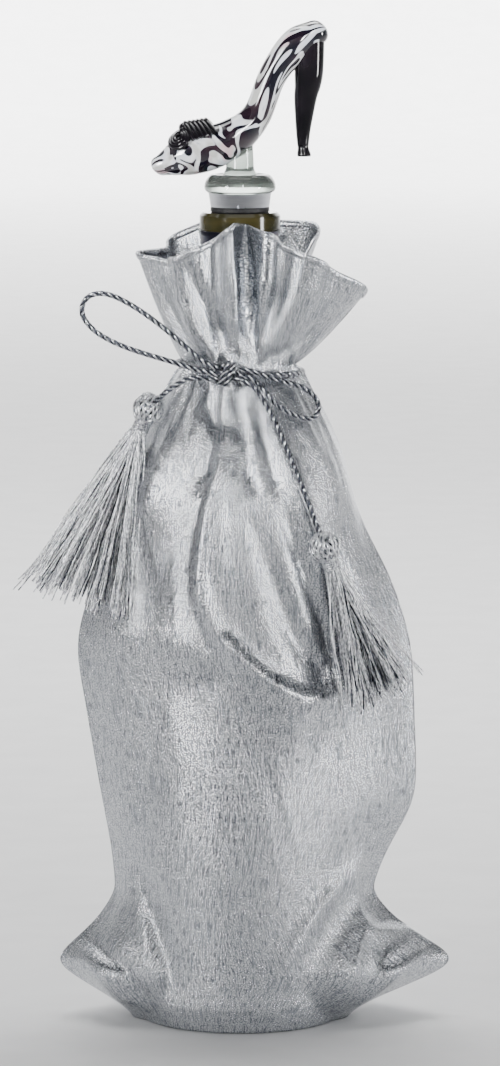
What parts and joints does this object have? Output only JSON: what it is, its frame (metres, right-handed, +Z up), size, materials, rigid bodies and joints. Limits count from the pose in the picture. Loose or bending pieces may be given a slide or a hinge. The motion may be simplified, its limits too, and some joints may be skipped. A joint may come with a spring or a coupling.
{
  "type": "wine gift bag",
  "caption": "Metallic cloth wine bag gathered round a bottle by a tasselled cord, with a glass stopper shaped like a high-heeled shoe.",
  "frame": {"origin": "on the floor under the bottle's axis", "axes": "+Z up along the bottle's axis, -Y out of the bag's front, +X to the right as the front is faced"},
  "size_m": [0.1533, 0.0858, 0.3711],
  "materials": {
    "lame": "silver metallic weave",
    "cord": "twisted metallic thread",
    "tassel_thread": "loose metallic thread",
    "bottle_glass": "dark green glass",
    "foil": "satin foil",
    "chrome": "polished",
    "black_rubber": "satin",
    "clear_seal": "satin",
    "clear_glass": "clear, faintly green",
    "marbled_glass": "opal glass with dark swirls",
    "black_glass": "black glass"
  },
  "bodies": {
    "bagged_bottle": {"bag_front_panel": "lame", "bag_back_panel": "lame", "bag_front_hem": "lame", "bag_back_hem": "lame", "left_seam_allowance": "lame", "right_seam_allowance": "lame", "neck_tie": "cord", "bow_knot": "cord", "left_bow_loop": "cord", "right_bow_loop": "cord", "left_cord_tail": "cord", "right_cord_tail": "cord", "bottle_body": "bottle_glass", "bottle_neck": "bottle_glass", "capsule": "foil"},
    "stopper": {"stopper_plug": "chrome", "stopper_gasket": "black_rubber", "stopper_seal_rings": "clear_seal", "glass_foot": "clear_glass", "shoe_body": "marbled_glass", "shoe_heel": "black_glass", "shoe_heel_tip": "black_glass", "vamp_bow": "black_glass"},
    "left_tassel": {"left_tassel_head": "cord", "left_tassel_binding": "cord", "left_tassel_skirt": "tassel_thread"},
    "right_tassel": {"right_tassel_head": "cord", "right_tassel_binding": "cord", "right_tassel_skirt": "tassel_thread"}
  },
  "joints": [
    {"name": "stopper_pull", "type": "slide", "parent": "bagged_bottle", "child": "stopper", "axis": [0, 0, 1], "range_m": [0, 0.07]},
    {"name": "left_tassel_swing", "type": "hinge", "parent": "bagged_bottle", "child": "left_tassel", "pos_m": [-0.0339, -0.01097, 0.22911], "axis": [-0.8645, 0.5026, 0], "range_deg": [0, 75]},
    {"name": "right_tassel_swing", "type": "hinge", "parent": "bagged_bottle", "child": "right_tassel", "pos_m": [0.03095, -0.03311, 0.18054], "axis": [-0.8, -0.6, 0], "range_deg": [0, 75]}
  ]
}
